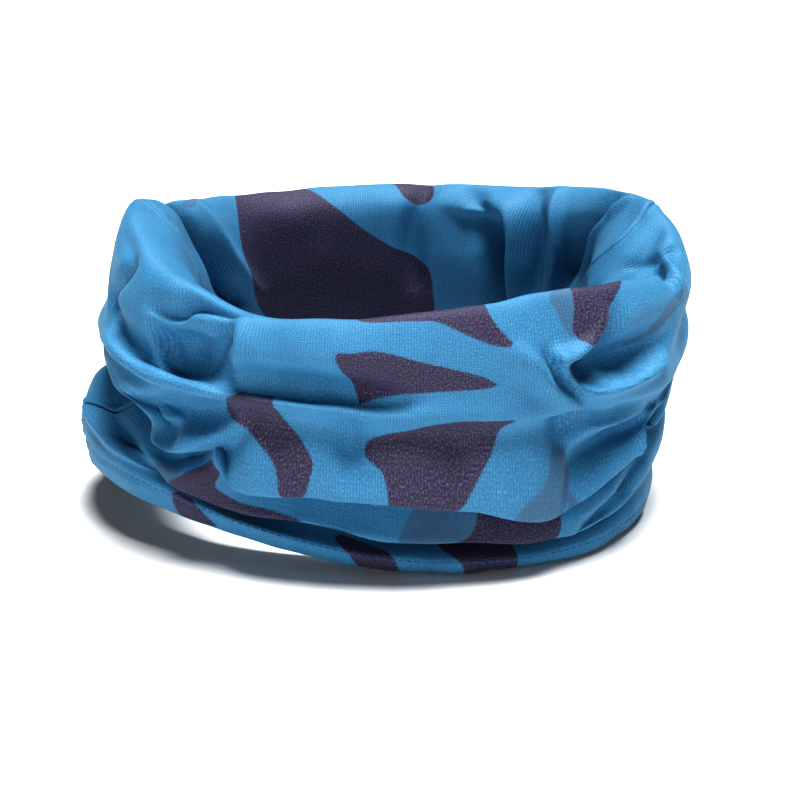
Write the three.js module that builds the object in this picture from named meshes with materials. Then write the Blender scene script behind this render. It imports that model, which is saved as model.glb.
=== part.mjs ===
// Neck gaiter: a tube of stretch jersey, turned down inside itself so that its walls are double,
// scrunched into three soft rolls and stood on its lower edges.
//
// Millimetres, +Z up. The origin is the middle of the footprint, on the surface that it stands on.
// The front faces -Y, and right and left are those of a view from the front, so right is +X.
// An angle goes round the ring from the right, through the back at 90 degrees and the left at 180.

import * as THREE from "three";

// Overall size, over the fabric's outermost roll.
const OVERALL_LENGTH = 191;
const OVERALL_DEPTH = 149;

// Height of the turned top above the surface, at the middle of each side.
const RIM_HEIGHT_LEFT = 96;
const RIM_HEIGHT_FRONT = 85;
const RIM_HEIGHT_RIGHT = 91;
const RIM_HEIGHT_BACK = 83;

// The lower edges rise off the surface at the front left.
const LIFT_ANGLE = 205;
const OUTER_EDGE_LIFT = 15;
const INNER_EDGE_LIFT = 12;

// Fabric and hems.
const FABRIC_THICKNESS = 0.6;
const HEM_HEIGHT = 5;
const HEM_STITCH_HEIGHT = 3.5;

// The turned top is half a circle in section, and the inner wall hangs from its inner side.
const RIM_BEND_DIAMETER = 15;
const RIM_INSET = 1;

// How far each roll and tuck of the outer wall lies inside the outermost roll.
const OUTER_HEM_INSET = 3;
const LOWER_TUCK_INSET = 6;
const LOWER_ROLL_INSET = 1;
const UPPER_TUCK_INSET = 4;

// The inner wall's soft waves, measured from the straight line below the turned top.
const INNER_WAVE = 1.5;

// Colours.
const JERSEY_BLUE = "#4a9ad0";
const THREAD_BLUE = "#3f86b8";

// Sewing.
const THREAD_DIAMETER = 0.8;
const SEAM_GAP = 0.3;
const THREAD_CLEARANCE = 0.3;
const SEAM_TO_HEM_CLEARANCE = 1;
const HEM_THREAD_END_GAP = 1;

// Fineness of the facets.
const PANEL_STATIONS = 24;
const OUTER_WALL_STEPS = 18;
const INNER_WALL_STEPS = 8;
const RIM_BEND_STEPS = 8;
const THREAD_SIDES = 6;

// Each roll and tuck sits at a share of the wall between its hem and the turned top.
const OUTER_FOLDS = [
  { at: 0.05, inset: LOWER_ROLL_INSET },
  { at: 0.15, inset: LOWER_TUCK_INSET },
  { at: 0.25, inset: LOWER_ROLL_INSET },
  { at: 0.41, inset: 0 },
  { at: 0.56, inset: LOWER_ROLL_INSET },
  { at: 0.67, inset: UPPER_TUCK_INSET },
  { at: 0.81, inset: RIM_INSET },
];
const INNER_FOLDS = [
  { at: 0.8, wave: 0 },
  { at: 0.6, wave: INNER_WAVE },
  { at: 0.4, wave: 0 },
  { at: 0.2, wave: -INNER_WAVE },
];

const HALF_LENGTH = (OVERALL_LENGTH - FABRIC_THICKNESS) / 2;
const HALF_DEPTH = (OVERALL_DEPTH - FABRIC_THICKNESS - SEAM_GAP) / 2;
const RIM_BEND_RADIUS = RIM_BEND_DIAMETER / 2;
const THREAD_OFFSET = (FABRIC_THICKNESS + THREAD_DIAMETER) / 2 + THREAD_CLEARANCE;
const SEAM_THREAD_STANDOFF = HEM_STITCH_HEIGHT + THREAD_DIAMETER + SEAM_TO_HEM_CLEARANCE;

// The height of the turned top, running smoothly through its four side heights.
function rimHeight(angle) {
  const mean = (RIM_HEIGHT_LEFT + RIM_HEIGHT_FRONT + RIM_HEIGHT_RIGHT + RIM_HEIGHT_BACK) / 4;
  const saddle = (RIM_HEIGHT_LEFT + RIM_HEIGHT_RIGHT - RIM_HEIGHT_FRONT - RIM_HEIGHT_BACK) / 4;
  const sideways = (RIM_HEIGHT_RIGHT - RIM_HEIGHT_LEFT) / 2;
  const lengthways = (RIM_HEIGHT_BACK - RIM_HEIGHT_FRONT) / 2;
  return mean + saddle * Math.cos(2 * angle) + sideways * Math.cos(angle) + lengthways * Math.sin(angle);
}

// The height of a lower edge: on the surface, but for one smooth lift of a quarter turn each way.
function edgeHeight(angle, lift) {
  const near = Math.max(0, Math.cos(angle - THREE.MathUtils.degToRad(LIFT_ANGLE)));
  return lift * near * near;
}

// The middle of the fabric at one angle, from the outer lower edge over the top to the inner one.
// x is how far out from the outermost roll it lies, so it is 0 or less, and y is the height.
function wallSection(angle) {
  const bendHeight = rimHeight(angle) - FABRIC_THICKNESS / 2 - RIM_BEND_RADIUS;
  const outerLow = edgeHeight(angle, OUTER_EDGE_LIFT);
  const innerLow = edgeHeight(angle, INNER_EDGE_LIFT);
  const innerInset = RIM_INSET + RIM_BEND_DIAMETER;

  const outerWall = [{ at: 0, inset: OUTER_HEM_INSET }, ...OUTER_FOLDS, { at: 1, inset: RIM_INSET }];
  const innerWall = [{ at: 1, wave: 0 }, ...INNER_FOLDS, { at: 0, wave: 0 }];
  const heightOn = (low, at) => low + HEM_HEIGHT + at * (bendHeight - low - HEM_HEIGHT);
  const outerPoints = outerWall.map(({ at, inset }) => new THREE.Vector2(-inset, heightOn(outerLow, at)));
  const innerPoints = innerWall.map(({ at, wave }) => {
    return new THREE.Vector2(-innerInset - wave, heightOn(innerLow, at));
  });

  const bend = [];
  for (let i = 1; i < RIM_BEND_STEPS; i++) {
    const turn = (Math.PI * i) / RIM_BEND_STEPS;
    const out = -RIM_INSET - RIM_BEND_RADIUS + RIM_BEND_RADIUS * Math.cos(turn);
    bend.push(new THREE.Vector2(out, bendHeight + RIM_BEND_RADIUS * Math.sin(turn)));
  }
  return [
    new THREE.Vector2(-OUTER_HEM_INSET, outerLow),
    ...new THREE.SplineCurve(outerPoints).getPoints(OUTER_WALL_STEPS),
    ...bend,
    ...new THREE.SplineCurve(innerPoints).getPoints(INNER_WALL_STEPS),
    new THREE.Vector2(-innerInset, innerLow),
  ];
}

// The same line moved sideways. A positive distance is towards the printed face, and corners are mitred.
function shiftedSection(section, distance) {
  return section.map((point, i) => {
    const before = section[Math.max(i - 1, 0)];
    const after = section[Math.min(i + 1, section.length - 1)];
    const intoPoint = (i > 0 ? point.clone().sub(before) : after.clone().sub(point)).normalize();
    const outOfPoint = (i + 1 < section.length ? after.clone().sub(point) : intoPoint.clone()).normalize();
    const along = intoPoint.clone().add(outOfPoint).normalize();
    const mitre = 1 / along.dot(intoPoint);
    const faceSide = new THREE.Vector2(along.y, -along.x);
    return point.clone().addScaledVector(faceSide, distance * mitre);
  });
}

// A section point stood up at its place in the ring: the ring is an ellipse, and out is square to it.
function placeInRing(angle, point) {
  const onRing = new THREE.Vector3(HALF_LENGTH * Math.cos(angle), HALF_DEPTH * Math.sin(angle), 0);
  const outward = new THREE.Vector3(Math.cos(angle) / HALF_LENGTH, Math.sin(angle) / HALF_DEPTH, 0);
  return onRing.addScaledVector(outward.normalize(), point.x).setZ(point.y);
}

// A closed sheet of fabric between two angles, lofted through one closed loop for each station.
function panelGeometry(startAngle, endAngle) {
  const loops = [];
  for (let i = 0; i <= PANEL_STATIONS; i++) {
    const angle = startAngle + ((endAngle - startAngle) * i) / PANEL_STATIONS;
    const middle = wallSection(angle);
    const face = shiftedSection(middle, FABRIC_THICKNESS / 2);
    const back = shiftedSection(middle, -FABRIC_THICKNESS / 2);
    loops.push({ angle, outline: [...face, ...back.reverse()] });
  }
  const size = loops[0].outline.length;
  const positions = loops.flatMap(({ angle, outline }) =>
    outline.flatMap((point) => placeInRing(angle, point).toArray()),
  );

  const indices = [];
  for (let i = 0; i < PANEL_STATIONS; i++) {
    for (let j = 0; j < size; j++) {
      const here = i * size + j;
      const beside = i * size + ((j + 1) % size);
      indices.push(here, here + size, beside, beside, here + size, beside + size);
    }
  }

  // The side edges are closed with the quads between a face point and the back point behind it.
  const lastLoop = PANEL_STATIONS * size;
  for (let j = 0; j + 1 < size / 2; j++) {
    const opposite = size - 1 - j;
    indices.push(j, j + 1, opposite, j + 1, opposite - 1, opposite);
    indices.push(lastLoop + j, lastLoop + opposite, lastLoop + j + 1);
    indices.push(lastLoop + j + 1, lastLoop + opposite, lastLoop + opposite - 1);
  }

  const geometry = new THREE.BufferGeometry();
  geometry.setAttribute("position", new THREE.Float32BufferAttribute(positions, 3));
  geometry.setIndex(indices);
  geometry.computeVertexNormals();
  return geometry;
}

// A thread laid along points, with a round section.
function threadGeometry(points) {
  const section = new THREE.Shape().absarc(0, 0, THREAD_DIAMETER / 2, 0, 2 * Math.PI);
  return new THREE.ExtrudeGeometry(section, {
    extrudePath: new THREE.CatmullRomCurve3(points, false, "centripetal"),
    steps: points.length * 2 - 2,
    curveSegments: THREAD_SIDES / 2,
  });
}

// The stretch of a section between a height on its outer wall and a height on its inner wall.
function trimmedSection(section, outerHeight, innerHeight) {
  const pointAt = (low, high, height) => low.clone().lerp(high, (height - low.y) / (high.y - low.y));
  const first = section.findIndex((point) => point.y > outerHeight);
  const last = section.findLastIndex((point) => point.y > innerHeight);
  return [
    pointAt(section[first - 1], section[first], outerHeight),
    ...section.slice(first, last + 1),
    pointAt(section[last + 1], section[last], innerHeight),
  ];
}

// A side seam's thread, over the printed face (side 1) or between the layers (side -1).
// It starts and ends above the hem stitching.
function seamThreadGeometry(angle, side) {
  const shifted = shiftedSection(wallSection(angle), side * THREAD_OFFSET);
  const outerStart = edgeHeight(angle, OUTER_EDGE_LIFT) + SEAM_THREAD_STANDOFF;
  const innerEnd = edgeHeight(angle, INNER_EDGE_LIFT) + SEAM_THREAD_STANDOFF;
  const route = trimmedSection(shifted, outerStart, innerEnd);
  return threadGeometry(route.map((point) => placeInRing(angle, point)));
}

// A hem's thread, once round the ring on the printed face, with its two ends side by side at the left.
function hemThreadGeometry(atStart, lift) {
  const points = [];
  const stations = 2 * PANEL_STATIONS;
  const endTurn = HEM_THREAD_END_GAP / HALF_DEPTH;
  for (let i = 0; i <= stations; i++) {
    const turn = (2 * Math.PI * i) / stations;
    const angle = Math.PI + THREE.MathUtils.clamp(turn, endTurn, 2 * Math.PI - endTurn);
    const shifted = shiftedSection(wallSection(angle), THREAD_OFFSET);
    const out = atStart ? shifted[0].x : shifted.at(-1).x;
    const height = edgeHeight(angle, lift) + HEM_STITCH_HEIGHT;
    points.push(placeInRing(angle, new THREE.Vector2(out, height)));
  }
  return threadGeometry(points);
}

function piece(name, geometry, material) {
  const mesh = new THREE.Mesh(geometry, material);
  mesh.name = name;
  return mesh;
}

function jersey(colour) {
  return new THREE.MeshStandardMaterial({ color: colour, roughness: 0.85, metalness: 0 });
}

function sewingThread(colour) {
  return new THREE.MeshStandardMaterial({ color: colour, roughness: 0.6, metalness: 0 });
}

// Each panel is half the ring, and stands half the seam's gap away from the other.
function panels() {
  const front = piece("front_panel", panelGeometry(Math.PI, 2 * Math.PI), jersey(JERSEY_BLUE));
  front.position.y = -SEAM_GAP / 2;
  const back = piece("back_panel", panelGeometry(0, Math.PI), jersey(JERSEY_BLUE));
  back.position.y = SEAM_GAP / 2;
  return [front, back];
}

function seamThreads() {
  return [
    { side: "left", angle: Math.PI },
    { side: "right", angle: 0 },
  ].flatMap(({ side, angle }) => [
    piece(`${side}_seam_face_thread`, seamThreadGeometry(angle, 1), sewingThread(THREAD_BLUE)),
    piece(`${side}_seam_back_thread`, seamThreadGeometry(angle, -1), sewingThread(THREAD_BLUE)),
  ]);
}

function hemThreads() {
  return [
    piece("outer_hem_thread", hemThreadGeometry(true, OUTER_EDGE_LIFT), sewingThread(THREAD_BLUE)),
    piece("inner_hem_thread", hemThreadGeometry(false, INNER_EDGE_LIFT), sewingThread(THREAD_BLUE)),
  ];
}

const gaiter = new THREE.Group();
gaiter.add(...panels(), ...seamThreads(), ...hemThreads());

export default gaiter;
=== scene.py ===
"""Neck gaiter of stretch jersey: a printed tube turned down inside itself, scrunched into a standing ring.

Lengths are millimetres until a mesh is made. The frame is metres, +Z up, front towards -Y.
Angles go round the ring: 0 at the front, 90 at the right, 180 at the back, -90 at the left.
"Along" is the distance along the cloth from the outer hem, up over the turned rim to the inner hem.
"""
import math

import bpy
import numpy as np
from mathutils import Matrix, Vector


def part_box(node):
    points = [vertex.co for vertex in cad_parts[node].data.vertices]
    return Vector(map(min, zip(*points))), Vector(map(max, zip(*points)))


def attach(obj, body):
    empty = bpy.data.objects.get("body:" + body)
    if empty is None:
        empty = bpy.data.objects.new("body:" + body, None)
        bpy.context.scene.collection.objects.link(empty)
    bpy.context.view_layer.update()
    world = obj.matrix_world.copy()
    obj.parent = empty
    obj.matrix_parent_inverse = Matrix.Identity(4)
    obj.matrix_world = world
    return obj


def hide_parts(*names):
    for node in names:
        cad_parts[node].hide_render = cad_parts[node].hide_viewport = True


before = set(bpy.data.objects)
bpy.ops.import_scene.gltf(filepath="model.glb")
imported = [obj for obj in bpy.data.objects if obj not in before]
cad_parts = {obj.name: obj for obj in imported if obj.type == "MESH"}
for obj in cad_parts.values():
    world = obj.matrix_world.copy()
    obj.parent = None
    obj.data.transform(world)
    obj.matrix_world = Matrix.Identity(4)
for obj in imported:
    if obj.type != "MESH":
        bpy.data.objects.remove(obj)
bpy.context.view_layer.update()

front_low, front_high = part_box("front_panel")

# ---------------------------------------------------------------- sizes

MM = 0.001
# half-axes of the ellipse that the widest roll follows
HALF_LENGTH = (front_high[0] - front_low[0]) / 2 / MM
HALF_DEPTH = -front_low[1] / MM
JERSEY_THICKNESS = 0.5
HEM_WIDTH = 9.5             # from the hem's fold to its row of stitches
HEM_THICKNESS = 1.1         # the jersey turned up double
HEM_TAPER = 1.5             # past the stitches, over which the double hem thins to one layer
STANDS_AT = 0.8             # height of the lowest printed face, clear of the floor
COLUMNS = 480               # facets round the ring
ROW_STEP = 1.0              # between rows of facets along the tube
FULL_TURN = 360

# ---------------------------------------------------------------- the scrunched walls
#
# Each line runs once round the ring, at the distance along the cloth that stands after its name.
# A point is (angle, how far outside the widest roll, height).

WALL_LINES = [
    ("outer hem edge", 0, [
        (-135, -3, 4), (-105, -1, 12), (-90, -1, 14), (-75, -2, 15.5), (-60, -3, 15.5), (-45, -6, 13),
        (-30, -9, 9), (-15, -12, 5.5), (0, -16, 3), (30, -16, 2), (60, -17, 1.5), (90, -18, 1.5),
        (120, -9, 0.5), (180, -4, 0.5)]),
    ("underside of the bottom roll", 5, [
        (-135, -2, 8), (-105, 0, 16.5), (-90, 0, 18), (-75, -0.5, 19), (-60, -1.5, 19), (-45, -4.5, 16),
        (-30, -7, 11), (-15, -9.5, 5.5), (0, -10, 1.5), (20, -8.5, 0.2), (40, -8, 0.2), (60, -11, 1),
        (90, -14, 3), (120, -8, 4), (180, -3, 5)]),
    ("face of the bottom roll", 10, [
        (-135, -1, 13), (-105, 0.5, 21), (-90, 1, 22.5), (-75, 0.5, 23), (-60, -0.5, 23), (-45, -3, 20),
        (-30, -5.5, 15.5), (-15, -7.5, 10.5), (0, -7.5, 6.5), (20, -5, 5), (40, -4.5, 5), (60, -8, 6),
        (90, -12, 9), (120, -6, 9), (180, -1, 10)]),
    ("top of the bottom roll", 14, [
        (-135, -1.5, 16), (-105, 0.8, 24), (-90, 1.2, 26), (-75, 0.8, 26.5), (-60, -0.5, 25.5),
        (-45, -4, 22), (-30, -9, 15.5), (-15, -11.5, 11.5), (0, -11.5, 8.2), (15, -10.5, 7.6),
        (30, -9, 7.2), (45, -7, 8.5), (60, -8.5, 10), (90, -12, 13), (120, -6.5, 13), (180, -2, 14)]),
    ("slit above the bottom roll", 19, [
        (-135, -3, 20), (-105, 0.5, 27), (-90, 1, 29), (-75, 0.5, 29), (-60, -1.5, 27.5), (-45, -8, 23),
        (-30, -17, 15.5), (-15, -19.5, 13), (0, -19.5, 10), (15, -19, 9.5), (30, -16, 9), (45, -11, 10),
        (60, -10, 14), (90, -12, 17), (120, -10, 17), (180, -9, 18)]),
    ("under the lower fold", 23, [
        (-135, -2, 23), (-105, 0, 30), (-90, 0.5, 32), (-75, 0, 31.5), (-60, -2, 29.5), (-45, -7, 23.5),
        (-30, -13, 19.5), (-15, -13, 19.5), (0, -13, 15.5), (15, -12, 14.3), (30, -10, 11.5), (45, -9, 12),
        (60, -8, 17), (90, -11, 20), (120, -6, 19), (180, -3, 21)]),
    ("edge of the lower fold", 28, [
        (-135, -1, 26), (-105, -0.5, 33), (-90, -0.2, 35), (-75, -1, 34), (-60, -2.5, 31.5),
        (-45, -3, 23.5), (-30, -5.5, 18.5), (-15, -6.5, 17.3), (0, -6.5, 12.4), (15, -6, 11.2),
        (30, -4, 9.4), (45, -3, 11), (60, -5, 19), (75, -8, 23), (90, -9.5, 23), (120, -4, 22),
        (180, -0.5, 24)]),
    ("face of the lower fold", 33, [
        (-135, -1.5, 30), (-105, -2, 37), (-90, -3, 39.5), (-75, -4, 38), (-60, -5.5, 34.5), (-45, -2, 27),
        (-30, -6.5, 23), (-15, -10, 22), (0, -10, 18), (15, -9, 16.8), (30, -5, 14),
        (45, -2.5, 17), (60, -5, 24), (75, -7, 28), (90, -8.5, 28), (120, -4, 27), (180, -1, 29)]),
    ("tuck under the belly", 43, [
        (-135, -10, 36), (-105, -10, 45), (-90, -17, 46), (-75, -23, 45), (-60, -17, 42.5), (-48, -4, 34),
        (-40, -2.5, 33), (-30, -8, 30), (-15, -17, 34), (0, -17, 33), (15, -15, 29), (30, -11, 23),
        (45, -11, 28), (60, -12, 35), (75, -12, 38), (90, -10, 37), (120, -9, 35), (180, -12, 38)]),
    ("inside the belly edge", 48, [
        (-135, -3, 40.5), (-105, -8, 49), (-90, -12, 51.5), (-75, -12, 50), (-60, -8.5, 45.5),
        (-48, -4.5, 37.5), (-40, -2.5, 35), (-30, -4, 30), (-15, -5, 31), (0, -4.5, 30), (15, -4.5, 26.3),
        (30, -4, 20), (45, -4, 27.3), (60, -5, 37), (75, -7, 41.5), (90, -8, 40.5), (120, -5, 39),
        (180, -3, 40.5)]),
    ("edge of the belly", 52, [
        (-135, -1, 41), (-105, -6.5, 51), (-90, -8, 53), (-75, -5.5, 51), (-60, -2.5, 46), (-48, -3, 40),
        (-40, -2, 37), (-30, 0.5, 28.5), (-15, 2, 29), (0, 2.5, 28), (15, 2.5, 24.5), (30, 2, 18.5),
        (45, 0, 26), (60, -2, 36), (75, -5, 41), (90, -6.5, 40), (120, -3, 39), (180, 0, 40)]),
    ("face of the belly", 58, [
        (-135, -1, 46), (-105, -6, 54), (-90, -7, 55.5), (-75, -4.5, 54.5), (-60, -2.5, 51),
        (-45, -1.5, 46), (-30, 0.5, 40), (-15, 1, 40), (0, 1.2, 38), (15, 1.2, 36), (30, 1.2, 33),
        (45, 0.5, 35), (60, -1.5, 40), (75, -4.5, 45), (90, -6, 46), (120, -3, 46), (180, 0, 46)]),
    ("tuck under the cuff", 66, [
        (-135, -4, 53), (-105, -7, 55), (-90, -7, 56), (-75, -5, 57), (-60, -4.5, 57), (-45, -4, 56),
        (-30, -3.5, 53.5), (-15, -3, 52.5), (0, -2.5, 50), (15, -2.2, 49), (30, -2.2, 47), (45, -2.5, 45),
        (60, -3.5, 44.5), (75, -5, 47.5), (90, -5.5, 51), (120, -5, 52), (180, -4, 53)]),
    ("ridge of the cuff", 72, [
        (-135, -1, 59), (-105, -5, 60), (-90, -5, 60), (-75, -3, 61), (-60, -0.5, 62.5), (-45, 0.3, 61),
        (-30, 0.8, 58.5), (-15, 0.8, 57.5), (0, 0.8, 54.8), (15, 0.8, 53.8), (30, 0.8, 52),
        (45, 0.5, 50), (60, 0, 49.5), (75, -1.5, 53), (90, -1.5, 57), (120, -2, 58), (180, 0, 59)]),
    ("hollow of the cuff", 80, [
        (-135, -3, 66), (-105, -8, 68), (-90, -8.5, 68), (-75, -5.5, 68), (-60, -3, 68), (-45, -3.5, 66.5),
        (-30, -3.5, 65.5), (-15, -3.2, 63.5), (0, -1.5, 61.5), (15, -0.3, 61), (30, 0, 60.5), (45, 0, 59),
        (60, -0.5, 58), (75, -3, 61), (90, -4, 65), (120, -4, 65), (180, -2, 66)]),
    ("face of the cuff", 90, [
        (-135, -5, 75), (-105, -10, 80), (-90, -10, 81.5), (-75, -7.3, 81), (-60, -5, 79), (-45, -3.5, 76),
        (-30, -2, 73.5), (-15, -1.5, 72.5), (0, -1, 72), (15, -1, 72), (30, -1, 72), (45, -0.5, 71),
        (60, -0.5, 70), (75, -1, 73), (90, -1.5, 77), (120, -4, 76), (180, -3, 75)]),
    ("crest of the cuff", 104, [
        (-146, -8, 82.5), (-135, -9, 84), (-123, -10, 88), (-105, -13, 93.5), (-90, -16.5, 96),
        (-75, -15.5, 95), (-60, -13, 91.5), (-45, -10.5, 87.5), (-33, -9, 84), (-24, -8, 81.8),
        (-12, -7.5, 83), (0, -7.5, 84.5), (18, -7.5, 87), (33, -8, 88.2), (50, -8, 86.5), (65, -8, 83),
        (78, -8, 82), (90, -9, 88), (104, -10, 92), (118, -9, 91.5), (135, -8, 88), (155, -8, 84),
        (180, -8, 82.5)]),
    ("inner lip", 112, [
        (-135, -14, 80), (-115, -19, 88), (-90, -26, 92), (-60, -23, 87.5), (-45, -18, 84),
        (-30, -14.5, 79.5), (-15, -13.5, 79), (0, -13.5, 80.5), (30, -14, 83), (60, -15, 79.5),
        (78, -16, 78), (90, -17, 84), (104, -17, 87), (120, -15, 84), (150, -14, 80), (180, -14, 78.5)]),
    ("upper inner wall", 127, [
        (-135, -20, 66), (-115, -29, 73), (-90, -35, 77), (-60, -31, 73), (-30, -18, 66), (0, -17, 67),
        (30, -17, 69), (60, -20, 66), (90, -31, 73), (108, -30, 72), (118, -25, 70), (130, -14.5, 66),
        (142, -16, 65), (180, -16, 64)]),
    ("middle of the inner wall", 147, [
        (-135, -22, 47), (-115, -32, 52), (-90, -38, 56), (-60, -33, 53), (-30, -19, 47), (0, -18, 46),
        (60, -23, 47), (90, -33, 53), (115, -26, 49), (135, -20, 46), (180, -17, 46)]),
    ("lower inner wall", 167, [
        (-135, -18, 29), (-90, -28, 36), (-60, -25, 34), (0, -20, 27), (60, -22, 27), (90, -27, 30),
        (135, -19, 27), (180, -16, 27)]),
    ("inner tuck", 180, [
        (-135, -14, 18), (-90, -22, 24), (-60, -21, 24), (0, -21, 15), (60, -22, 14), (90, -24, 15),
        (135, -15, 14), (180, -13, 14)]),
    ("inner hem edge", 194, [
        (-135, -16, 3), (-90, -20, 12), (-60, -21, 13), (-30, -22, 7), (0, -24, 1), (60, -24, 0.5),
        (90, -25, 0.5), (135, -17, 0.5), (180, -15, 0.5)]),
]

# ---------------------------------------------------------------- seams and local folds

FOLD_DEPTH = 1.5            # each fold is pressed in this many times over, as easing takes some of it back
FOLD_REACH = 3              # spreads from its path at which a fold has faded out
EASE_PASSES = 2

# Where each side seam crosses the cloth: (along, angle).
LEFT_SEAM = [
    (0, -84), (20, -86), (28, -83), (32, -77), (37, -70), (44, -74), (60, -92), (80, -104),
    (100, -111), (108, -111), (114, -108), (120, -97), (125, -87), (134, -84), (150, -85), (194, -88)]
RIGHT_SEAM = [
    (0, 88), (30, 90), (60, 94), (80, 100), (104, 106), (110, 103), (117, 100), (124, 103),
    (132, 108), (150, 100), (194, 92)]
SEAM_SWAY = 70              # degrees to each side of a seam over which the facets lean to follow it

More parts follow.
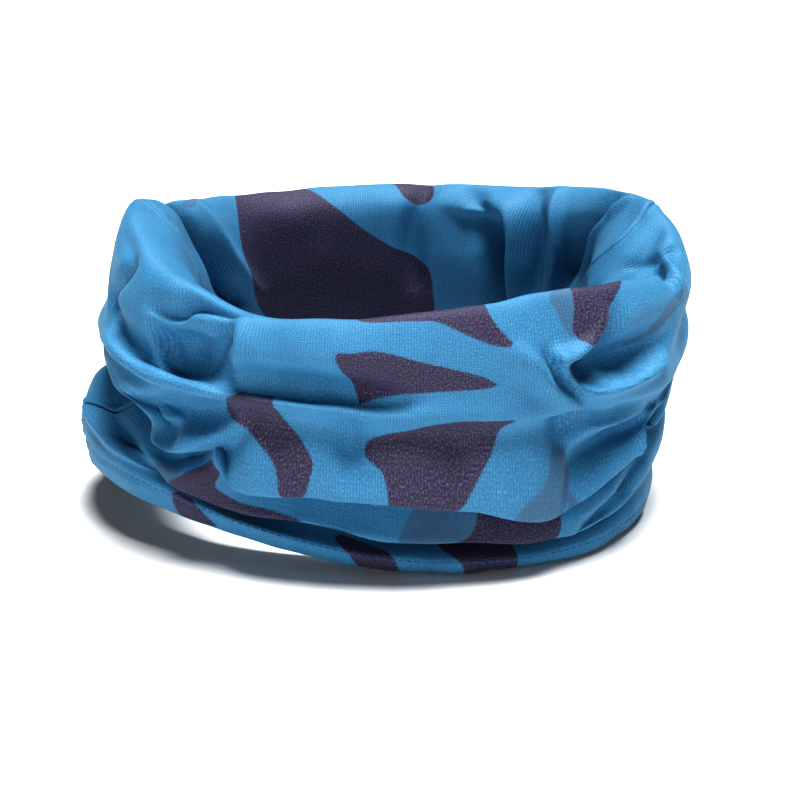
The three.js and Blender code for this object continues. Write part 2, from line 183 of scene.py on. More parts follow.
# Each fold is pressed into the cloth along a path of (angle, along). The numbers before it are its rise
# (below 0 a crease), how far it spreads to the left and to the right of the path, and how far the cloth
# leans over to the right.
FOLDS = [
    # the cuff's left side
    ("crescent crease", -3.6, 4, 1.3, 1.4,
     [(-50, 91), (-46, 92), (-43, 94), (-41, 97), (-37, 99), (-30, 101)]),
    ("lip of the crescent", 1.4, 0.9, 4, 0, [(-50, 89), (-46, 89), (-42, 91), (-39, 95), (-34, 97)]),
    ("left pocket", -5.8, 7, 7, 0, [(-47, 83), (-41, 84), (-35, 87)]),
    ("left corner of the pocket", -3, 2.6, 1.6, 0, [(-49, 84), (-48, 80), (-45, 77)]),
    ("right corner of the pocket", -4.2, 1.2, 4, 0, [(-30.5, 96), (-31, 90), (-34, 82)]),
    ("ridge right of the pocket", 2.4, 4, 1.5, 0.6, [(-29, 98), (-28.5, 90), (-30, 80)]),
    ("ridge left of the pocket", 1.6, 2, 2, 0, [(-53, 86), (-52, 82), (-48, 75)]),
    ("side crease", -4, 1.4, 2.2, 0, [(-63, 96), (-67, 90), (-73, 83)]),
    ("valley above the left ridge", -3.6, 5, 1.6, 0.8,
     [(-72, 83), (-61, 78), (-54, 75.5), (-49, 75), (-42, 76), (-35, 77)]),
    ("left ridge", 2.4, 1.8, 3.5, 0, [(-68, 76), (-60, 73), (-52, 71), (-44, 71), (-34, 72)]),
    ("ear crease", -1.6, 2, 2, 0, [(-106, 108), (-102, 112), (-92, 114)]),
    ("faint crease under the ear", -1.2, 3, 2, 0, [(-80, 99), (-69, 99), (-62, 97)]),
    # the cuff's front and right side
    ("hollow over the cuff's ridge", -4.4, 5, 3, 0, [(-32, 76), (-19, 77.5), (-10, 78.5), (2, 78)]),
    ("first hook ridge", 3.2, 1.4, 4, 0, [(25, 91), (28, 87), (31, 81.5), (36, 76)]),
    ("trough between the hook ridges", -4, 1.5, 1.3, 0, [(29.5, 88.5), (32.5, 82), (36.5, 77)]),
    ("second hook ridge", 5.4, 1.5, 1.5, 0,
     [(45, 95), (42, 92), (39, 90), (35, 88.5), (32, 88.5), (32, 86), (35, 82), (38, 79), (42, 78),
      (48, 78.5), (54, 79.5), (62, 81)]),
    ("pocket in the hook", -6.2, 4.5, 4, 0, [(38, 83.5), (44, 84), (52, 85.5), (60, 87)]),
    ("crease along the hook", -3.4, 3.5, 1.1, 0.6,
     [(40, 80.5), (44, 80), (49, 81), (56, 82.5), (66, 84.5)]),
    ("valley into the hook", -4.8, 3, 3, 0, [(36, 83), (41, 87.5), (45, 91.5), (47, 95)]),
    ("groove above the hook", -1.6, 1.4, 2.5, 0.4, [(44, 88), (50, 90), (59, 91.5), (67, 90)]),
    ("crease under the cuff on the right", -2, 1, 4.5, 0.8,
     [(27, 69), (35, 70.5), (43, 71), (51, 72), (59, 71)]),
    ("hollow at the right ear", -3.2, 3.5, 3.5, 0, [(80, 110), (74, 105), (71, 99)]),
    ("hooked ridge at the right ear", 2.8, 1.5, 1.5, 0, [(84, 107), (77, 103), (74, 98), (73, 94)]),
    ("crease at the right ear", -2.6, 1.8, 1.8, 0, [(85, 115), (83, 108), (85, 100)]),
    ("soft valley right of the ear", -2, 4, 4, 0, [(94, 105), (91, 109), (87, 113), (83, 121)]),
    # the lobe at the lower left
    ("valley in the lobe", -3.2, 3, 5, 0, [(-84, 36), (-75, 34), (-66, 31), (-58, 29), (-50, 26)]),
    ("brow of the lobe", 1.6, 2, 3, 0, [(-86, 27), (-74, 25), (-62, 22), (-52, 20)]),
    # the belly
    ("pocket under the cuff", -5, 1.8, 5, 0.4,
     [(-58, 56), (-54, 57), (-50, 59.5), (-45, 62), (-38, 63.5), (-31, 65)]),
    ("lower arm of that pocket", -3.6, 2, 2, 0, [(-53, 53), (-49, 51.5), (-45, 54), (-43.5, 58)]),
    ("low left ridge", 3.4, 2.4, 1.6, 0.8,
     [(-54, 44), (-48, 47), (-42, 53), (-37, 58), (-32, 61), (-28, 65)]),
    ("low left valley", -6.2, 2, 4.5, 0, [(-50, 41), (-44, 44), (-39, 49), (-34, 56), (-30, 60)]),
    ("soft fold left of the middle", -2.6, 5, 5, 0, [(-6, 67), (-7, 62), (-6, 58)]),
    ("soft fold right of the middle", -1.3, 5, 5, 0, [(14, 67), (13, 62), (12, 58)]),
    ("swell in the middle", 1.1, 6, 6, 0, [(3, 65), (4, 58)]),
    ("soft fold at the plum bar", -1.2, 4, 4, 0, [(-23, 64), (-20, 58)]),
    ("shaded fold on the right", -3.8, 5, 5, 0, [(38, 70), (35, 66), (33, 61)]),
    ("lip of the upper pleat", 2.6, 1.2, 3.5, 0, [(56, 66.5), (51, 67), (46, 66.2), (42, 65), (37, 63)]),
    ("upper pleat", -6.5, 5.5, 1.5, -1, [(56, 63), (50, 63.5), (44, 62.5), (39, 61), (35.5, 58)]),
    ("thin ridge by the pleats", 1.9, 1.5, 1.5, 0, [(54, 49), (54.5, 56), (57.5, 60.5), (62, 62.5)]),
    ("leaf beside the thin ridge", -3.8, 2.5, 2.5, 0, [(57, 47), (57.5, 52), (60, 56), (64, 58)]),
    ("long pleat to the hem", -3.4, 2, 3, 0, [(40, 30), (46, 31), (53, 33), (62, 35)]),
    # inside the ring
    ("valley behind the left ear", -6.8, 3.5, 3.5, 0,
     [(-124, 106), (-127, 113), (-130, 121), (-133, 127), (-136, 134), (-141, 142)]),
    ("ridge behind the left ear", 2.4, 3, 3, 0, [(-134, 107), (-137, 118), (-141, 128), (-148, 140)]),
    ("deep fold at the back", -6.6, 1.2, 7.5, 0,
     [(161, 117), (156, 119), (153, 123), (152, 131), (152, 148)]),
    ("its hooked edge", 4.6, 5, 1.2, 2, [(156, 113), (152, 115), (150, 120), (150, 131), (149.5, 148)]),
    ("second fold at the back", -3.4, 3, 3, 0, [(146, 108), (144, 122), (145, 144)]),
    ("second ridge at the back", 3.2, 2.6, 2.6, 0, [(141, 108), (139, 122), (140, 142)]),
    ("soft fold left of them", -3, 4, 4, 0, [(172, 106), (175, 124), (174, 140)]),
    ("soft fold beside it", -1.6, 3, 3, 0, [(162, 108), (157, 116)]),
    ("curved fold behind the right ear", -4, 2.5, 6, 0.4,
     [(123, 111), (127, 116), (130, 121), (133, 127), (136, 134), (139, 144)]),
    ("light edge of that fold", 2.2, 1.8, 1.6, 0,
     [(116, 106), (121, 111), (125, 116), (128, 122), (131, 130)]),
    # the back of the ring
    ("long crease across the back", -3, 2, 5, 0.8,
     [(112, 84), (130, 80), (150, 76), (172, 74), (196, 77), (216, 83)]),
    ("slanting crease from the right seam", -3, 4.5, 1.4, 0, [(98, 62), (112, 66), (128, 69), (144, 68)]),
    ("pocket at the right of the back", -1.8, 5, 5, 0, [(128, 89), (138, 88), (148, 90)]),
    ("ridge below that pocket", 2, 1.5, 4, 0, [(114, 88), (128, 85), (144, 86)]),
    ("slanting crease from the left seam", -3.2, 1.5, 5, 1, [(206, 60), (220, 66), (236, 72), (250, 80)]),
    ("short pleat by the left seam", -2.8, 4, 1.3, 0, [(232, 88), (240, 92), (250, 93)]),
    ("soft folds down the back", -1.5, 6, 6, 0, [(168, 66), (172, 58), (170, 50)]),
    ("swell at the back", 1.5, 8, 8, 0, [(188, 66), (192, 54)]),
    ("low pleat at the back", -3, 4.5, 1.3, -1, [(190, 34), (176, 36), (160, 33), (146, 34)]),
    ("low crease by the right seam", -2.6, 3.5, 1.3, -0.8, [(118, 34), (106, 38), (96, 36)]),
]


def bell(distance, width):
    """1 at no distance, fading smoothly to 0 a few widths away."""
    return np.exp(-((distance / width) ** 2))


def smooth_through(knots, values, at):
    """A cubic curve through values at knots, with each slope taken from the two neighbours."""
    steps = np.diff(knots)[:, None]
    chords = np.diff(values, axis=0) / steps
    slopes = np.empty_like(values)
    slopes[0], slopes[-1] = chords[0], chords[-1]
    slopes[1:-1] = (chords[:-1] * steps[1:] + chords[1:] * steps[:-1]) / (steps[1:] + steps[:-1])
    left = np.clip(np.searchsorted(knots, at, side="right") - 1, 0, len(knots) - 2)
    step = steps[left]
    f = ((at - knots[left]) / step[:, 0])[:, None]
    return (
        values[left] * (2 * f**3 - 3 * f**2 + 1)
        + slopes[left] * step * (f**3 - 2 * f**2 + f)
        + values[left + 1] * (3 * f**2 - 2 * f**3)
        + slopes[left + 1] * step * (f**3 - f**2)
    )


def round_the_ring(points, angles):
    """A line's (out, height) at each angle, closed round the ring."""
    table = np.array(points, float)
    knots = np.concatenate([table[-3:, 0] - FULL_TURN, table[:, 0], table[:3, 0] + FULL_TURN])
    values = np.concatenate([table[-3:, 1:], table[:, 1:], table[:3, 1:]])
    wrapped = (angles - table[0, 0]) % FULL_TURN + table[0, 0]
    return smooth_through(knots, values, wrapped)


def place(angles, out, height):
    """Points of the ring: out is square to the ellipse that the widest roll follows."""
    turn = np.radians(angles)
    x, y = np.sin(turn), -np.cos(turn)
    square = np.stack([x / HALF_LENGTH, y / HALF_DEPTH], -1)
    square /= np.linalg.norm(square, axis=-1, keepdims=True)
    return np.stack(
        [x * HALF_LENGTH + square[..., 0] * out, y * HALF_DEPTH + square[..., 1] * out, height], -1
    )


# The way round the widest roll, added up every half degree for two turns to each side.
dial = np.linspace(-2 * FULL_TURN, 2 * FULL_TURN, 8 * FULL_TURN + 1)
dial_steps = np.linalg.norm(np.diff(place(dial, 0 * dial, 0 * dial), axis=0), axis=-1)
dial_arc = np.concatenate([[0], np.cumsum(dial_steps)])


def round_mm(angle):
    """The way round the widest roll to an angle."""
    return np.interp(angle, dial, dial_arc)


def seam_pull(angles, rows):
    """The angle of each facet corner: columns of facets follow the two side seams."""
    grid = np.broadcast_to(angles, (len(rows), len(angles))).copy()
    for seam, usual in ((LEFT_SEAM, -90), (RIGHT_SEAM, 90)):
        along, angle = np.array(seam, float).T
        shift = smooth_through(along, angle[:, None], rows)[:, 0] - usual
        near = 0.5 + 0.5 * np.cos(np.pi * np.clip(abs(angles - usual) / SEAM_SWAY, 0, 1))
        grid += shift[:, None] * near
    return grid


def wall_surface():
    """The scrunched tube's facet corners: each row's distance along the cloth, and each corner's angle
    and place."""
    angles = np.linspace(-FULL_TURN / 2, FULL_TURN / 2, COLUMNS, endpoint=False)
    lines = np.stack([round_the_ring(points, angles) for _, _, points in WALL_LINES])
    line_along = np.array([along for _, along, _ in WALL_LINES], float)
    rows = np.linspace(0, line_along[-1], int(line_along[-1] / ROW_STEP) + 1)
    turned = seam_pull(angles, rows)
    wall = smooth_through(line_along, lines.reshape(len(line_along), -1), rows)
    wall = wall.reshape(len(rows), COLUMNS, 2)
    pulled = np.empty_like(wall)
    for row in range(len(rows)):
        for part in range(2):
            pulled[row, :, part] = np.interp(
                turned[row], angles, wall[row, :, part], period=FULL_TURN)
    return rows, turned, place(turned, pulled[..., 0], pulled[..., 1])


def across_and_along(spots):
    """The surface's directions round the ring and along the cloth, and its printed side's normal."""
    across = np.roll(spots, -1, 1) - np.roll(spots, 1, 1)
    along = np.gradient(spots, axis=0)
    across /= np.linalg.norm(across, axis=-1, keepdims=True)
    along /= np.linalg.norm(along, axis=-1, keepdims=True)
    normal = np.cross(across, along)
    normal /= np.linalg.norm(normal, axis=-1, keepdims=True)
    return across, along, normal


def curve_through(points, steps=8):
    """A smooth open line through flat points."""
    points = np.array(points, float)
    knots = np.arange(len(points), dtype=float)
    return smooth_through(knots, points, np.linspace(0, knots[-1], steps * (len(points) - 1) + 1))


def corners_near(line, middle, reach, turned, rows):
    """The facet corners within reach of a line of (angle, along): a mask, and their flat places in mm.

    The line's own angles are turned to mm round the ring in place."""
    near_angle = (turned - middle + FULL_TURN / 2) % FULL_TURN + middle - FULL_TURN / 2
    s, t = round_mm(near_angle), np.broadcast_to(rows[:, None], turned.shape)
    line[:, 0] = round_mm(line[:, 0])
    low, high = line.min(0) - reach, line.max(0) + reach
    close = (s > low[0]) & (s < high[0]) & (t > low[1]) & (t < high[1])
    return close, np.stack([s[close], t[close]], -1)


def press_folds(spots, turned, rows):
    """Push the cloth in and out along each fold's path."""
    across, along, normal = across_and_along(spots)
    push = np.zeros_like(spots)
    for _, rise, left, right, lean, path in FOLDS:
        middle = np.mean([angle for angle, _ in path])
        line = curve_through(path)
        close, flat = corners_near(line, middle, FOLD_REACH * max(left, right), turned, rows)
        best = np.full(len(flat), np.inf)
        side = np.zeros((len(flat), 2))
        ahead = np.zeros(len(flat))
        way = np.zeros((len(flat), 2))
        count = len(line) - 1
        for i in range(count):
            run = line[i + 1] - line[i]
            f = np.clip(((flat - line[i]) @ run) / (run @ run), 0, 1)
            off = flat - line[i] - f[:, None] * run
            far = np.linalg.norm(off, axis=1)
            nearer = far < best
            best[nearer] = far[nearer]
            side[nearer] = off[nearer]
            ahead[nearer] = (i + f[nearer]) / count
            way[nearer] = run / np.linalg.norm(run)
        leftward = way[:, 0] * side[:, 1] - way[:, 1] * side[:, 0] > 0
        spread = np.where(leftward, left, right)
        # a fold is full in the middle of its path and shallow, but not gone, at its two ends
        ends = np.sin(np.pi * np.clip(0.12 + 0.76 * ahead, 0, 1)) ** 0.8
        shape = bell(best, spread) * ends
        rightward = way[:, 1:] * across[close] - way[:, :1] * along[close]
        push[close] += shape[:, None] * (FOLD_DEPTH * rise * normal[close] + lean * rightward)
    return spots + push


def ease(spots, passes):
    """Let sharp kinks relax: each point moves half of the way to the middle of its four neighbours."""
    for _ in range(passes):
        middle = (np.roll(spots, 1, 1) + np.roll(spots, -1, 1)) / 2
        middle[1:-1] = (middle[1:-1] + (spots[:-2] + spots[2:]) / 2) / 2
        spots = spots + 0.5 * (middle - spots)
    return spots


CRUMPLE_SEED = 7
CRUMPLE_WAVES = 26          # sets of waves laid over one another
WAVES_ROUND = (6, 36)       # fewest in one turn of the ring, and one more than the most
WAVE_HEIGHT = 0.26          # of a wave as long as the ring; shorter ones are lower
WAVE_FALL = 0.6             # the power of the number of waves that lowers them
WAVE_SLANT = 0.5            # most waves that a crest leans by, in one run along the cloth
SLANT_RUN = 9
SEAM_GROOVE, SEAM_GROOVE_WIDTH = 1.0, 0.9
SEAM_WELT, SEAM_WELT_OFF, SEAM_WELT_WIDTH = 0.3, 2.2, 1.4       # the swell at each side of the groove
PUCKER, PUCKER_PITCH, PUCKER_WIDTH = 0.18, 5.3, 3.5             # the small waves along a seam
HEM_GROOVE, HEM_GROOVE_WIDTH = 0.6, 1.1


def crumple(spots, turned, rows):
    """Small seeded waves all over the cloth, the pinched line of each seam and the groove of each hem."""
    _, _, normal = across_and_along(spots)
    draw = np.random.default_rng(CRUMPLE_SEED)
    s = round_mm(turned)
    t = np.broadcast_to(rows[:, None], s.shape)
    rise = np.zeros_like(s)
    whole_round = round_mm(FULL_TURN) - round_mm(0)
    for _ in range(CRUMPLE_WAVES):
        waves = draw.integers(*WAVES_ROUND)
        slant = draw.uniform(-WAVE_SLANT, WAVE_SLANT)
        height = WAVE_HEIGHT / waves ** WAVE_FALL
        phase = draw.uniform(0, 6.3)    # about one wave, in radians
        rise += height * np.sin(2 * np.pi * (waves * s / whole_round + slant * t / SLANT_RUN) + phase)
    for seam in (LEFT_SEAM, RIGHT_SEAM):
        along, angle = np.array(seam, float).T
        middle = smooth_through(along, angle[:, None], rows)[:, :1]
        off = (s - round_mm(middle))
        off = (off + whole_round / 2) % whole_round - whole_round / 2
        puckers = PUCKER * np.sin(2 * np.pi * t / PUCKER_PITCH) * bell(off, PUCKER_WIDTH)
        welts = SEAM_WELT * bell(abs(off) - SEAM_WELT_OFF, SEAM_WELT_WIDTH)
        rise += welts - SEAM_GROOVE * bell(off, SEAM_GROOVE_WIDTH) + puckers
    for row_of_stitches in (HEM_WIDTH, rows[-1] - HEM_WIDTH):
        rise -= HEM_GROOVE * bell(t - row_of_stitches, HEM_GROOVE_WIDTH)
    return spots + rise[..., None] * normal


rows, turned, surface = wall_surface()
surface = ease(press_folds(surface, turned, rows), EASE_PASSES)
surface = crumple(surface, turned, rows)
surface[..., 2] = np.maximum(surface[..., 2], STANDS_AT)

# ---------------------------------------------------------------- the two jersey panels


def sheet_mesh(name, spots):
    """A mesh of quads through a grid of points."""
    high, wide = spots.shape[:2]
    index = np.arange(high * wide).reshape(high, wide)
    here, beside = index[:, :-1], index[:, 1:]
    quads = np.stack([here[:-1], beside[:-1], beside[1:], here[1:]], -1).reshape(-1, 4)
    mesh = bpy.data.meshes.new(name)
    mesh.from_pydata((spots.reshape(-1, 3) * MM).tolist(), [], quads.tolist())
    mesh.shade_smooth()
    return mesh


def panel(name, first, last):
    """The jersey between two columns of the surface, with its print's distances, its own thickness and
    its doubled hems."""
    columns = np.arange(first, last + 1) % COLUMNS
    cloth = bpy.data.objects.new(name, sheet_mesh(name, surface[:, columns]))
    bpy.context.collection.objects.link(cloth)
    knit = np.zeros((len(rows), len(columns), 3))
    knit[..., 0] = round_mm(-FULL_TURN / 2 + np.arange(first, last + 1) * FULL_TURN / COLUMNS)
    knit[..., 1] = rows[:, None]
    cloth.data.attributes.new("cloth_mm", "FLOAT_VECTOR", "POINT").data.foreach_set(
        "vector", knit.astype(np.float32).ravel())
    for print_name, edge in prints.items():
        cloth.data.attributes.new(print_name, "FLOAT", "POINT").data.foreach_set(
            "value", edge[:, columns].astype(np.float32).ravel())
    hem = cloth.vertex_groups.new(name="turned hem")
    for row, along in enumerate(rows):
        from_edge = min(along, rows[-1] - along)
        doubled = np.clip(1 - (from_edge - HEM_WIDTH) / HEM_TAPER, 0, 1)
        thick = (JERSEY_THICKNESS + (HEM_THICKNESS - JERSEY_THICKNESS) * doubled) / HEM_THICKNESS
        hem.add(list(range(row * len(columns), (row + 1) * len(columns))), float(thick), "REPLACE")
    skin = cloth.modifiers.new("jersey thickness", "SOLIDIFY")
    skin.thickness = HEM_THICKNESS * MM
    skin.offset = -1
    skin.vertex_group = hem.name
    skin.material_offset_rim = 1    # the cut edges show the jersey's white reverse
    return cloth


# ---------------------------------------------------------------- the print
#
# Each patch is an outline of (angle, along) on the cloth.

PLUM_PATCHES = {
    "across the back, inside": [
        (-145, 110), (-144, 125), (-146, 139), (-150, 150), (-158, 166), (-172, 172), (-186, 166),
        (-190, 154), (-190, 143), (-189, 136), (-186, 132), (-173, 120), (-162, 103), (-158, 92),
        (-152, 88), (-147, 96)],
    "over the back rim": [
        (179, 104), (177, 109.5), (174, 112), (171, 110.5), (170.5, 106), (172, 96), (177, 92),
        (182, 97)],
    "along the front rim": [
        (-6, 105), (-4, 101.5), (4, 100.5), (9, 99.5), (14, 96), (20, 92.8), (23, 92.8), (20.5, 96.5),
        (19, 100), (18, 106), (14, 113), (4, 114), (-5, 110)],
    "leaf on the cuff": [
        (-9.5, 91.5), (-7, 92.5), (-1, 93), (9, 89), (17, 85.5), (20, 82.8), (20, 82.8), (17, 82),
        (7, 81.5), (-1, 79.3), (-5.5, 77.7), (-5.5, 77.7), (-7, 82)],
    "bar under the cuff": [
        (-28, 75.5), (-28, 75.5), (-21.5, 76.5), (-21.5, 76.5), (-20.5, 69), (-19.5, 65.5), (-16, 62),
        (-13.5, 58.5), (-14, 56), (-15, 53), (-17, 50.5), (-19.5, 53), (-20.5, 57), (-24, 60.5),
        (-28, 63), (-33, 64.5), (-33, 64.5), (-31, 69)],
    "block on the belly": [
        (-4, 63), (-2, 64.5), (3, 67), (9, 70), (17, 71), (23.5, 71.6), (23.5, 71.6), (20.5, 66),
        (19, 62), (15, 56), (12, 52), (10, 48), (4, 46), (0, 49), (0, 54), (-1, 58), (-4, 60.5)],
    "wedge on the lower fold": [
        (-44, 33), (-41, 38), (-38, 42), (-36, 46), (-34, 42), (-35, 36), (-33, 33.5), (-30, 32),
        (-23, 31), (-17, 29), (-20, 26), (-30, 23), (-38, 21), (-45, 23), (-46, 29)],
    "its foot on the hem": [(-45, 13), (-45, 2), (-41, 0), (-36, 3), (-36, 6), (-39, 10), (-41, 13)],
    "foot of the middle roll": [
        (-11, 16), (-4, 15), (0, 12.5), (2, 7), (2, 2), (-3, 1), (-6, 6), (-8, 10)],
    "block on the lower fold": [
        (20, 42), (28, 44), (34, 42), (35, 36), (34, 30), (31, 26), (26, 20), (25.5, 14), (25.5, 8),
        (25, 1), (18, 0), (15, 6), (14, 10), (11, 14), (10, 18), (11, 24), (13, 28), (17, 32)],
    "tongue at the hook fold": [
        (38, 106), (37, 98), (36, 94), (37, 92), (39, 90.5), (43, 90.3), (45, 91.5), (45, 95),
        (48, 98.5), (52, 103), (54, 109), (48, 114), (41, 112)],
    "inside the front": [(4, 132), (16, 128), (27, 136), (30, 150), (19, 158), (8, 149)],
    "upper right of the back": [(120, 88), (131, 94), (146, 91), (151, 81), (141, 72), (128, 75)],
    "upper left of the back": [(204, 96), (214, 101), (230, 98), (236, 90), (222, 85), (208, 88)],
    "middle of the back": [(150, 58), (163, 65), (176, 63), (183, 53), (171, 47), (158, 49)],
    "lower left of the back": [(206, 63), (216, 70), (229, 66), (236, 54), (226, 43), (214, 49)],
    "low right of the back": [(126, 34), (139, 40), (154, 36), (150, 24), (138, 20), (128, 24)],
    "low left of the back": [(186, 32), (200, 38), (214, 34), (222, 22), (206, 17), (192, 22)],
}
GREY_PATCHES = {
    "beside the tongue": [
        (32, 102), (35, 105), (38.5, 105), (37.5, 98), (36.5, 94), (39, 91), (35, 93), (33, 97.5)],
    "band at the right ear": [
        (77, 94), (70, 94.5), (65, 94), (62.5, 91.5), (58, 88), (54, 85), (60, 86), (66, 89.5),
        (71, 90.5), (77, 89)],
    "tail on the belly": [
        (32, 62), (33.5, 63), (35, 61.5), (36.5, 58), (35.5, 55.5), (34, 53), (32, 49), (27, 49),
        (23, 52), (24, 54.5), (27, 56), (29.5, 57.5)],
    "sliver at the upper pleat": [(35, 55.5), (37, 53), (37, 51), (35, 52)],
    "beside the block on the lower fold": [
        (2, 28), (4, 34), (8, 38), (14, 41), (21, 42), (18, 33), (14, 28), (8, 26)],
    "haze on the lower fold": [(-52, 22), (-50, 33), (-43, 39), (-44, 32), (-46, 26), (-48, 20)],
    "at the left rim": [(-129, 107.5), (-131, 105), (-134, 105), (-132, 108.5)],
    "beside the middle of the back": [(176, 63), (183, 53), (178, 47), (188, 49), (193, 58), (186, 67)],
    "beside the upper left of the back": [(196, 99), (204, 96), (208, 88), (200, 86), (193, 91)],
}
CLEAR_OF_PATCH = 9.0        # the distance that stands for anywhere farther from a patch
OUTLINE_STEPS = 6           # between two corners of an outline


def patch_edge(outlines):
    """How far each facet corner lies outside the nearest patch, below 0 inside one."""
    nearest = np.full(turned.shape, CLEAR_OF_PATCH)
    for outline in outlines:
        middle = np.mean([angle for angle, _ in outline])
        # the loop runs on past its start and loses its end spans, so that it closes smoothly
        loop = np.array(outline + outline[:3], float)
        line = curve_through(loop, OUTLINE_STEPS)[OUTLINE_STEPS:-OUTLINE_STEPS]
        close, flat = corners_near(line, middle, CLEAR_OF_PATCH, turned, rows)
        best = np.full(len(flat), np.inf)
        inside = np.zeros(len(flat), bool)
        for start, end in zip(line[:-1], line[1:]):
            run = end - start
            f = np.clip(((flat - start) @ run) / max(run @ run, 1e-9), 0, 1)
            best = np.minimum(best, np.linalg.norm(flat - start - f[:, None] * run, axis=1))
            if end[1] != start[1]:
                crosses = (start[1] > flat[:, 1]) != (end[1] > flat[:, 1])
                reach = start[0] + (flat[:, 1] - start[1]) / run[1] * run[0]
                inside ^= crosses & (flat[:, 0] < reach)
        nearest[close] = np.minimum(nearest[close], np.where(inside, -best, best))
    return nearest


prints = {
    "plum_edge": patch_edge(PLUM_PATCHES.values()),
    "grey_edge": patch_edge(GREY_PATCHES.values()),
}

# ---------------------------------------------------------------- materials

SKY_DEEP = "#2A6C8F"
SKY_LIGHT = "#3A80A2"
PLUM_INK = "#32233F"
GREY_INK = "#3B4A5E"
PALE_YARN = "#A4B8D6"       # yarn that the darker inks didn't reach
FUZZ_TINT = "#BFE0F4"       # stray fibres against the light
WALE = 0.9                  # real jersey has about 0.65 between wales; drawn coarser, to show
COURSE = 0.75               # between courses; drawn coarser too
LOOP_SLANT = 2.4            # radians between a loop's middle and its sides, which makes it a V
LOOP_RELIEF = 0.14          # height of a loop
YARN_GRAIN = 2.0            # specks in a mm: about the yarn's own thickness
CLOUDS = 0.11               # changes of tone in a mm: one every 9 mm or so
CREEP = 0.7                 # how far the ink's border wanders among the yarns
PLUM_BORDER = 0.35          # half of a border's width, from full ink to none
GREY_BORDER = 0.5
PLY_SCALE = 900.0           # crosses the thread with a ply every 0.7 mm
PLY_RELIEF = 0.05


def linear(hex_colour):
    """A hex sRGB colour as linear red, green, blue and alpha."""
    parts = [int(hex_colour[i:i + 2], 16) / 255 for i in (1, 3, 5)]
    return (*[c / 12.92 if c <= 0.04045 else ((c + 0.055) / 1.055) ** 2.4 for c in parts], 1.0)


def add(tree, kind, links=(), **settings):
    """Add a node. Settings name its properties, or its sockets as in_0. A link is (socket, output)."""
    made = tree.nodes.new("ShaderNode" + kind)
    for name, value in settings.items():
        if name.startswith("in_"):
            made.inputs[int(name[3:])].default_value = value
        else:
            setattr(made, name, value)
    for socket, output in links:
        tree.links.new(output, made.inputs[socket])
    return made


def set_sockets(shader, **settings):
    """Set a shader's sockets, named with _ for a space."""
    for name, value in settings.items():
        shader.inputs[name.replace("_", " ")].default_value = value


def new_material(name):
    """A material, its node tree and its shader."""
    made = bpy.data.materials.new(name)
    made.use_nodes = True
    return made, made.node_tree, made.node_tree.nodes["Principled BSDF"]


def knit_height(tree, cloth):
    """Columns of small V-shaped stitches, from 0 to 1."""
    parts = add(tree, "SeparateXYZ", [(0, cloth)])
    wale = add(tree, "Math", [(0, parts.outputs[0])], operation="MULTIPLY", in_1=math.pi / WALE)
    rib = add(tree, "Math", [(0, wale.outputs[0])], operation="SINE")
    column = add(tree, "Math", [(0, rib.outputs[0])], operation="ABSOLUTE").outputs[0]
    course = add(tree, "Math", [(0, parts.outputs[1])], operation="MULTIPLY", in_1=2 * math.pi / COURSE)
    vee = add(tree, "Math", [(0, column), (2, course.outputs[0])], operation="MULTIPLY_ADD",
              in_1=LOOP_SLANT)
    loops = add(tree, "Math", [(0, vee.outputs[0])], operation="SINE")
    # the gap between two loops of a column goes half of the way down
    half = add(tree, "Math", [(0, loops.outputs[0])], operation="MULTIPLY_ADD", in_1=0.25, in_2=0.75)
    return add(tree, "Math", [(0, column), (1, half.outputs[0])], operation="MULTIPLY").outputs[0]


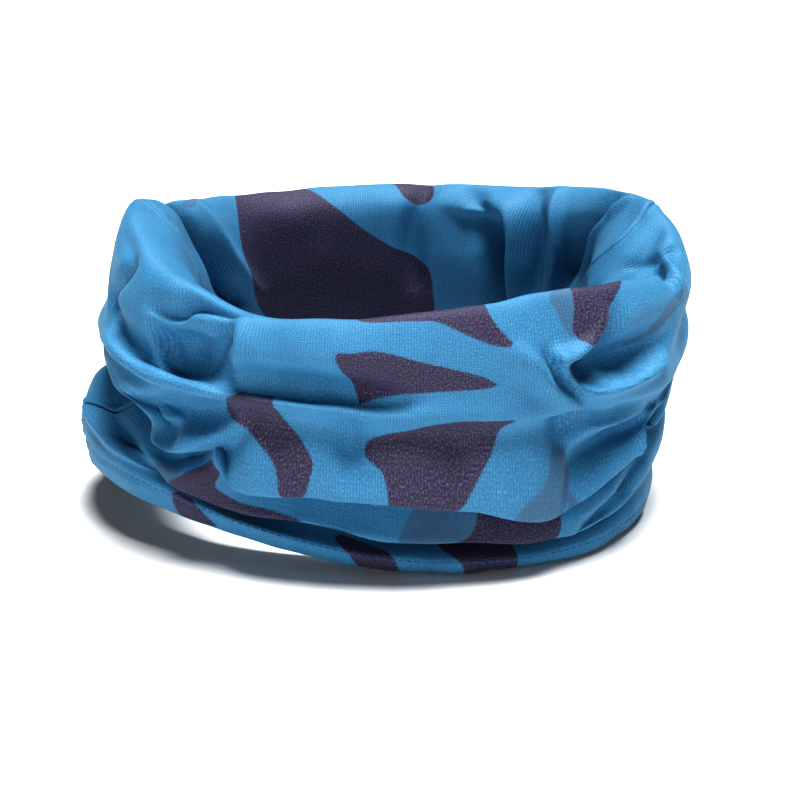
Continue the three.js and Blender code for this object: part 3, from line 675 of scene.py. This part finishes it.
def printed_jersey():
    """Fine polyester single jersey, dyed by a transfer print: small knit loops with painted shade between
    them, a soft bloom of stray fibres at grazing angles, and pale yarn grinning through the darker inks."""
    made, tree, shader = new_material("printed polyester jersey")
    cloth = add(tree, "Attribute", attribute_name="cloth_mm").outputs["Vector"]
    plum = add(tree, "Attribute", attribute_name="plum_edge").outputs["Fac"]
    grey = add(tree, "Attribute", attribute_name="grey_edge").outputs["Fac"]
    grain = add(tree, "TexNoise", [(0, cloth)], in_2=YARN_GRAIN, in_3=2.0, in_4=0.7).outputs[0]
    cloudy = add(tree, "TexNoise", [(0, cloth)], in_2=CLOUDS, in_3=3.0, in_4=0.6).outputs[0]
    # the ink creeps a little along the yarns at each patch's border
    creep = add(tree, "Math", [(0, grain)], operation="MULTIPLY_ADD", in_1=CREEP, in_2=-CREEP / 2)

    def inked(edge, border):
        """The share of a patch's ink, by the distance outside its edge."""
        wavy = add(tree, "Math", [(0, edge), (1, creep.outputs[0])], operation="ADD").outputs[0]
        ramp = add(tree, "MapRange", [(0, wavy)], interpolation_type="SMOOTHSTEP",
                   in_1=-border, in_2=border, in_3=1.0, in_4=0.0)
        return ramp.outputs[0]

    sky = add(tree, "MixRGB", [(0, cloudy)], in_1=linear(SKY_DEEP), in_2=linear(SKY_LIGHT))
    # the grey is a thin ink, broken by the yarns
    stipple = add(tree, "MapRange", [(0, grain)], in_1=0.44, in_2=0.56, in_3=0.15, in_4=1.0).outputs[0]
    grey_here = add(tree, "Math", [(0, inked(grey, GREY_BORDER)), (1, stipple)], operation="MULTIPLY")
    with_grey = add(tree, "MixRGB", [(0, grey_here.outputs[0]), (1, sky.outputs[0])],
                    in_2=linear(GREY_INK))
    with_plum = add(tree, "MixRGB", [(0, inked(plum, PLUM_BORDER)), (1, with_grey.outputs[0])],
                    in_2=linear(PLUM_INK))
    specks = add(tree, "MapRange", [(0, grain)], in_1=0.46, in_2=0.72, in_3=0.0, in_4=0.28).outputs[0]
    grin = add(tree, "MixRGB", [(0, specks), (1, with_plum.outputs[0])], in_2=linear(PALE_YARN))
    height = knit_height(tree, cloth)
    # painted shade: the base colour is darker between the loops, where shade falls, and a little lighter
    # on their tops
    painted_loop_shade = add(tree, "MapRange", [(0, height)], in_1=0.0, in_2=1.0, in_3=0.8, in_4=1.06).outputs[0]
    knit = add(tree, "VectorMath", [(0, grin.outputs[0])], operation="SCALE")
    tree.links.new(painted_loop_shade, knit.inputs["Scale"])
    tree.links.new(knit.outputs[0], shader.inputs["Base Color"])
    rough = add(tree, "MapRange", [(0, grain)], in_1=0.3, in_2=0.7, in_3=0.58, in_4=0.78)
    tree.links.new(rough.outputs[0], shader.inputs["Roughness"])
    fuzz = add(tree, "Math", [(0, grain), (2, height)], operation="MULTIPLY_ADD", in_1=0.8).outputs[0]
    bump = add(tree, "Bump", [("Height", fuzz)], in_0=0.7, in_1=LOOP_RELIEF * MM)
    tree.links.new(bump.outputs[0], shader.inputs["Normal"])
    set_sockets(shader, Sheen_Weight=0.1, Sheen_Roughness=0.5, Sheen_Tint=linear(FUZZ_TINT),
                Specular_IOR_Level=0.55)
    return made


def jersey_reverse():
    """The unprinted side of the same jersey: white polyester, with the print's blue faintly through it."""
    made, tree, shader = new_material("white reverse of the jersey")
    cloth = add(tree, "Attribute", attribute_name="cloth_mm").outputs["Vector"]
    grain = add(tree, "TexNoise", [(0, cloth)], in_2=0.9, in_3=3.0, in_4=0.6).outputs[0]
    tone = add(tree, "MixRGB", [(0, grain)], in_1=linear("#9FC3DA"), in_2=linear("#DCE8EF"))
    tree.links.new(tone.outputs[0], shader.inputs["Base Color"])
    bump = add(tree, "Bump", [("Height", knit_height(tree, cloth))], in_0=0.4, in_1=LOOP_RELIEF * MM)
    tree.links.new(bump.outputs[0], shader.inputs["Normal"])
    set_sockets(shader, Roughness=0.85, Sheen_Weight=0.15)
    return made


def sewing_thread():
    """Spun polyester thread: two plies twisted round each other, with painted shade between them and a
    dull satin gleam.
    """
    made, tree, shader = new_material("spun polyester thread")
    where = add(tree, "TexCoord").outputs["Object"]
    ply = add(tree, "TexWave", [(0, where)], bands_direction="DIAGONAL", in_1=PLY_SCALE, in_2=1.5)
    # painted shade: the thread is darker in the grooves between its plies and lighter on their crests,
    # following the same bands as its bump
    tone = add(tree, "MixRGB", [(0, ply.outputs[1])], in_1=linear("#1B5A88"), in_2=linear("#2E77A8"))
    tree.links.new(tone.outputs[0], shader.inputs["Base Color"])
    bump = add(tree, "Bump", [("Height", ply.outputs[1])], in_0=0.5, in_1=PLY_RELIEF * MM)
    tree.links.new(bump.outputs[0], shader.inputs["Normal"])
    set_sockets(shader, Roughness=0.55, Sheen_Weight=0.1)
    return made


jersey = printed_jersey()
reverse = jersey_reverse()
thread = sewing_thread()

# ---------------------------------------------------------------- stitches

STITCH_LENGTH = 2.0
STITCH_GAP = 0.5
STITCH_WIDTH = 0.38
STITCH_SIDES = 6
# Along a stitch: (share of its length, share of its width, widths that it stands above the cloth).
STITCH_PROFILE = [(0, 0.35, -0.3), (0.12, 0.85, 0.05), (0.5, 1, 0.3), (0.88, 0.85, 0.05), (1, 0.35, -0.3)]
LEVELLING = 4               # passes that steady the stitches where the cloth under them is crumpled
LOOK_AHEAD = 0.2            # to the point that gives a stitch its direction


def stitch_row(name, route, normals):
    """A row of short, slightly bowed stitches along a route on the cloth."""
    normals = normals.copy()
    for _ in range(LEVELLING):
        normals[1:-1] = (normals[:-2] + 2 * normals[1:-1] + normals[2:]) / 4
    steps = np.linalg.norm(np.diff(route, axis=0), axis=1)
    gone = np.concatenate([[0], np.cumsum(steps)])
    count = int(gone[-1] / (STITCH_LENGTH + STITCH_GAP))
    pitch = gone[-1] / count
    verts, faces = [], []
    for i in range(count):
        start = i * pitch + STITCH_GAP / 2
        base = len(verts)
        for share, fat, lift in STITCH_PROFILE:
            at = start + share * (pitch - STITCH_GAP)
            middle = np.array([np.interp(at, gone, route[:, k]) for k in range(3)])
            ahead = np.array([np.interp(at + LOOK_AHEAD, gone, route[:, k]) for k in range(3)]) - middle
            up = np.array([np.interp(at, gone, normals[:, k]) for k in range(3)])
            wide = np.cross(ahead, up)
            wide /= max(np.linalg.norm(wide), 1e-9)
            up /= max(np.linalg.norm(up), 1e-9)
            for corner in range(STITCH_SIDES):
                turn = 2 * math.pi * corner / STITCH_SIDES
                ring = wide * math.cos(turn) + up * math.sin(turn)
                verts.append((middle + up * lift * STITCH_WIDTH + ring * fat * STITCH_WIDTH / 2) * MM)
        for ring in range(len(STITCH_PROFILE) - 1):
            for corner in range(STITCH_SIDES):
                after = (corner + 1) % STITCH_SIDES
                low, high = base + ring * STITCH_SIDES, base + (ring + 1) * STITCH_SIDES
                faces.append((low + corner, low + after, high + after, high + corner))
        last = base + (len(STITCH_PROFILE) - 1) * STITCH_SIDES
        faces.append(tuple(base + corner for corner in reversed(range(STITCH_SIDES))))
        faces.append(tuple(last + corner for corner in range(STITCH_SIDES)))
    mesh = bpy.data.meshes.new(name)
    mesh.from_pydata([tuple(v) for v in verts], [], faces)
    mesh.shade_smooth()
    row = bpy.data.objects.new(name, mesh)
    bpy.context.collection.objects.link(row)
    row.data.materials.append(thread)
    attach(row, "root")
    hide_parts(name)
    row.name = name + "_stitches"
    return row


_, _, normal = across_and_along(surface)
quarter = COLUMNS // 4
for side, column in (("left", quarter), ("right", 3 * quarter)):
    face, out = surface[:, column], normal[:, column]
    stitch_row(side + "_seam_face_thread", face, out)
    stitch_row(side + "_seam_back_thread", face - out * JERSEY_THICKNESS, -out)
for name, along in (("outer_hem_thread", HEM_WIDTH), ("inner_hem_thread", rows[-1] - HEM_WIDTH)):
    row = int(round(along / rows[1]))
    ring = np.concatenate([surface[row], surface[row, :1]])
    out = np.concatenate([normal[row], normal[row, :1]])
    stitch_row(name, ring, out)

front_cloth = panel("front_jersey", quarter, 3 * quarter)
back_cloth = panel("back_jersey", 3 * quarter, 5 * quarter)
for cloth, node in ((front_cloth, "front_panel"), (back_cloth, "back_panel")):
    cloth.data.materials.append(jersey)
    cloth.data.materials.append(reverse)
    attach(cloth, "root")
    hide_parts(node)

# ---------------------------------------------------------------- camera, floor and light

FLOOR_SIZE = 6
bpy.ops.mesh.primitive_plane_add(size=FLOOR_SIZE)
floor = bpy.context.object
floor.name = "floor"
paper, _, paper_shader = new_material("white paper floor")
set_sockets(paper_shader, Base_Color=linear("#E4E4E4"), Roughness=0.9)
floor.data.materials.append(paper)

ELEVATION = math.radians(21)
LENS = 170                  # millimetres
AWAY = 1.194                # metres from the target, as all places here are
MIDDLE = Vector((0, 0, 0.05))
target = Vector((0.0035, 0, 0.0324))
camera = bpy.data.objects.new("camera", bpy.data.cameras.new("camera"))
bpy.context.collection.objects.link(camera)
camera.data.lens = LENS
camera.data.clip_end = 20
camera.location = target + Vector((0, -math.cos(ELEVATION), math.sin(ELEVATION))) * AWAY
camera.rotation_euler = (math.pi / 2 - ELEVATION, 0, 0)
bpy.context.scene.camera = camera


def soft_light(name, kind, at, **settings):
    """A lamp aimed at the middle of the ring."""
    lamp = bpy.data.lights.new(name, kind)
    for setting, value in settings.items():
        setattr(lamp, setting, value)
    holder = bpy.data.objects.new(name, lamp)
    bpy.context.collection.objects.link(holder)
    holder.location = at
    holder.rotation_euler = (MIDDLE - Vector(at)).to_track_quat("-Z", "Y").to_euler()


soft_light("overhead", "SUN", (0.15, 0.0, 1.6), energy=4.8, angle=math.radians(28))
soft_light("low front fill", "AREA", (-0.2, -1.5, 0.3), shape="RECTANGLE", size=0.9, size_y=0.35, energy=8)

world = bpy.data.worlds.new("studio")
world.use_nodes = True
world.node_tree.nodes["Background"].inputs["Color"].default_value = linear("#FFFFFF")
world.node_tree.nodes["Background"].inputs["Strength"].default_value = 0.05
bpy.context.scene.world = world
# the colours above are chosen for this look, which gives the deep folds their darkness
bpy.context.scene.view_settings.view_transform = "Standard"
bpy.context.scene.view_settings.look = "Very High Contrast"
